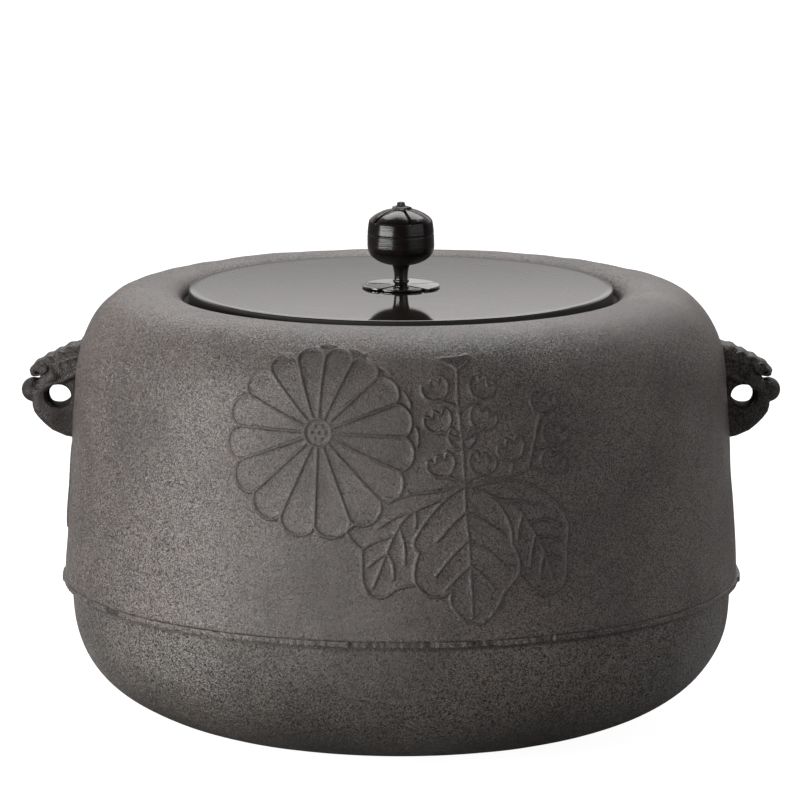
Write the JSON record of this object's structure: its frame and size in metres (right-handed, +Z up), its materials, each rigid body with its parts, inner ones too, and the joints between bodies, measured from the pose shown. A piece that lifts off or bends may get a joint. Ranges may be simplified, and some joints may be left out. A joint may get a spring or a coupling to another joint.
{
  "type": "tea kettle",
  "caption": "Wide-mouthed cast-iron tea kettle with mask lugs for lifting rings and a flat drop-in bronze lid with a fruit-shaped knob.",
  "frame": {"origin": "middle of the base, on the surface that the kettle stands on", "axes": "+Z up along the kettle's axis, +X through the right lug, the relief looks towards -Y"},
  "size_m": [0.3032, 0.272, 0.2085],
  "materials": {
    "iron_skin": "sandy cast skin, matt",
    "iron_lug": "cast, rubbed, satin",
    "iron_plate": "rough, matt",
    "putty": "hard lacquer putty, matt",
    "lid_bronze": "dark patina, waxed, satin gloss",
    "seat_bronze": "dark patina, satin",
    "knob_bronze": "black patina, glossy",
    "washer_brass": "bare, dull"
  },
  "bodies": {
    "kettle": {"kettle_shell": "iron_skin", "kettle_bottom": "iron_skin", "seam_putty": "putty", "lug_left": "iron_lug", "lug_right": "iron_lug", "sounding_plate_1": "iron_plate", "sounding_plate_2": "iron_plate", "sounding_plate_3": "iron_plate", "sounding_plate_4": "iron_plate", "sounding_plate_5": "iron_plate", "plate_putty_1": "putty", "plate_putty_2": "putty", "plate_putty_3": "putty", "plate_putty_4": "putty", "plate_putty_5": "putty"},
    "lid": {"lid_plate": "lid_bronze"},
    "knob": {"knob_seat": "seat_bronze", "knob_stem": "knob_bronze", "knob_fruit": "knob_bronze", "knob_cap": "knob_bronze", "knob_washer": "washer_brass"}
  },
  "joints": [
    {"name": "lid_lift", "type": "slide", "parent": "kettle", "child": "lid", "axis": [0, 0, 1], "range_m": [0, 0.15]},
    {"name": "knob_turn", "type": "hinge", "parent": "lid", "child": "knob", "pos_m": [0, 0, 0.1744], "axis": [0, 0, 1], "continuous": true}
  ]
}
